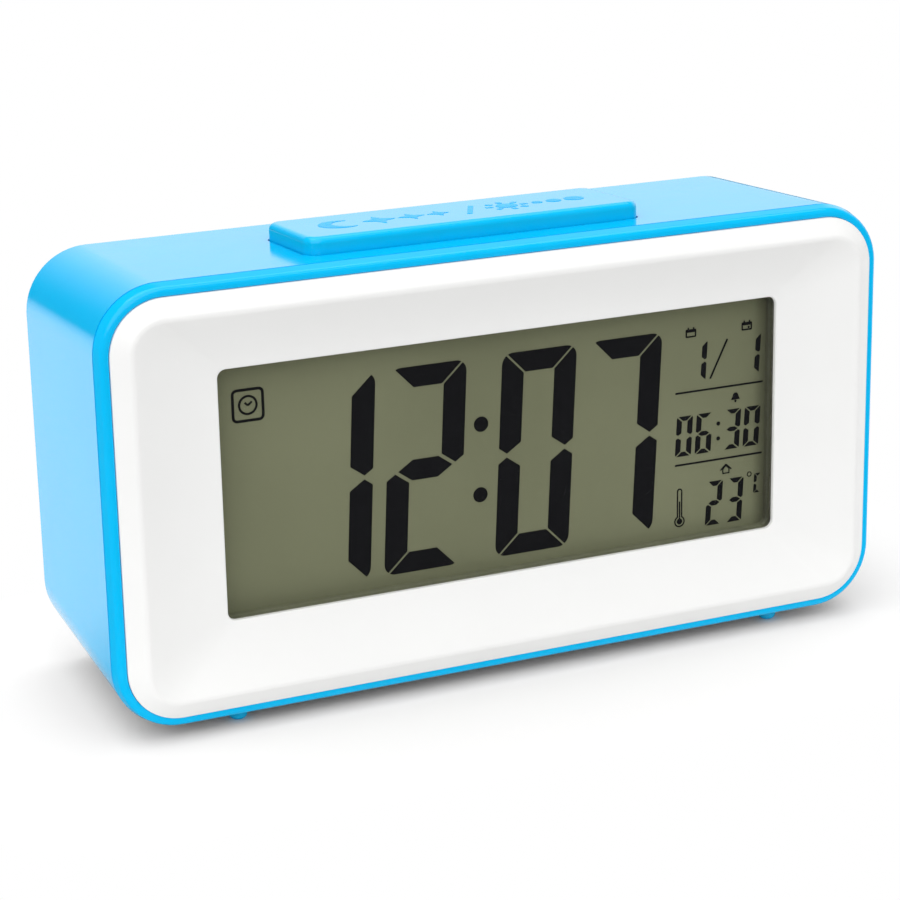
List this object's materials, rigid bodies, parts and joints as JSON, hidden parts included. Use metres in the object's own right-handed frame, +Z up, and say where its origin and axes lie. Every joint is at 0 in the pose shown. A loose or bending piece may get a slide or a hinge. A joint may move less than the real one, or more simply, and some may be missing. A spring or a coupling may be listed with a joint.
{
  "type": "digital alarm clock",
  "caption": "Desk alarm clock in a rounded box case with a framed liquid-crystal display, a press bar on top, rear push buttons, a slide switch and a hinged battery door.",
  "frame": {"origin": "on the surface it stands on, below the middle of its outline", "axes": "+X to the viewer's right along the face, +Y from the face to the back, +Z up"},
  "size_m": [0.135, 0.0433, 0.0745],
  "materials": {
    "blue_plastic": "satin gloss",
    "white_plastic": "satin",
    "clear_plastic": "clear, polished",
    "lcd_glass": "grey green, matt",
    "dark_plastic": "matt",
    "light_guide": "frosted",
    "led": "lens gloss",
    "contact_rubber": "matt",
    "circuit_board": "lacquered",
    "black_resin": "domed gloss",
    "steel": "plain",
    "bright_can": "drawn",
    "switch_plastic": "matt",
    "control_plastic": "satin",
    "cell_jacket": "printed film, plain",
    "brass_disc": "plain",
    "lead_sleeve": "satin",
    "ribbon_sleeve": "satin"
  },
  "bodies": {
    "clock": {"rear_case": "blue_plastic", "front_rim": "blue_plastic", "front_bezel": "white_plastic", "display_window": "clear_plastic", "lcd_frame": "dark_plastic", "lcd_front_glass": "lcd_glass", "lcd_rear_glass": "lcd_glass", "light_guide": "light_guide", "backlight_leds": "led", "contact_strip": "contact_rubber", "main_board": "circuit_board", "chip_blob": "black_resin", "quartz_crystal": "bright_can", "capacitors": "bright_can", "thermistor": "black_resin", "board_screws": "steel", "case_screws": "steel", "snooze_bracket": "dark_plastic", "bracket_screws": "steel", "snooze_board": "circuit_board", "snooze_switch": "switch_plastic", "snooze_springs": "steel", "key_board": "circuit_board", "key_screws": "steel", "button_switches": "switch_plastic", "alarm_switch_body": "switch_plastic", "battery_cells": "cell_jacket", "battery_contacts": "steel", "piezo_buzzer": "brass_disc", "battery_leads": "lead_sleeve", "buzzer_leads": "lead_sleeve", "key_ribbon": "ribbon_sleeve", "snooze_leads": "lead_sleeve"},
    "snooze": {"snooze_bar": "blue_plastic", "snooze_plunger": "switch_plastic"},
    "alarm_knob": {"alarm_switch_knob": "switch_plastic"},
    "door": {"battery_door": "blue_plastic"},
    "button_1": {"rear_button_1": "control_plastic", "button_plunger_1": "switch_plastic"},
    "button_2": {"rear_button_2": "control_plastic", "button_plunger_2": "switch_plastic"},
    "button_3": {"rear_button_3": "control_plastic", "button_plunger_3": "switch_plastic"},
    "button_4": {"rear_button_4": "control_plastic", "button_plunger_4": "switch_plastic"}
  },
  "joints": [
    {"name": "snooze_press", "type": "slide", "parent": "clock", "child": "snooze", "axis": [0, -0.0474, -0.9989], "range_m": [0, 0.001], "stiffness_N_per_m": 700, "springref_m": -0.001, "deforming": ["snooze_springs"]},
    {"name": "button_1_press", "type": "slide", "parent": "clock", "child": "button_1", "axis": [0, -1, 0], "range_m": [0, 0.0006], "stiffness_N_per_m": 900, "springref_m": -0.0006},
    {"name": "button_2_press", "type": "slide", "parent": "clock", "child": "button_2", "axis": [0, -1, 0], "range_m": [0, 0.0006], "stiffness_N_per_m": 900, "springref_m": -0.0006},
    {"name": "button_3_press", "type": "slide", "parent": "clock", "child": "button_3", "axis": [0, -1, 0], "range_m": [0, 0.0006], "stiffness_N_per_m": 900, "springref_m": -0.0006},
    {"name": "button_4_press", "type": "slide", "parent": "clock", "child": "button_4", "axis": [0, -1, 0], "range_m": [0, 0.0006], "stiffness_N_per_m": 900, "springref_m": -0.0006},
    {"name": "alarm_slide", "type": "slide", "parent": "clock", "child": "alarm_knob", "axis": [1, 0, 0], "range_m": [0, 0.003]},
    {"name": "door_hinge", "type": "hinge", "parent": "clock", "child": "door", "pos_m": [-0.01, 0.02175, 0.00855], "axis": [-1, 0, 0], "range_deg": [0, 75]}
  ]
}
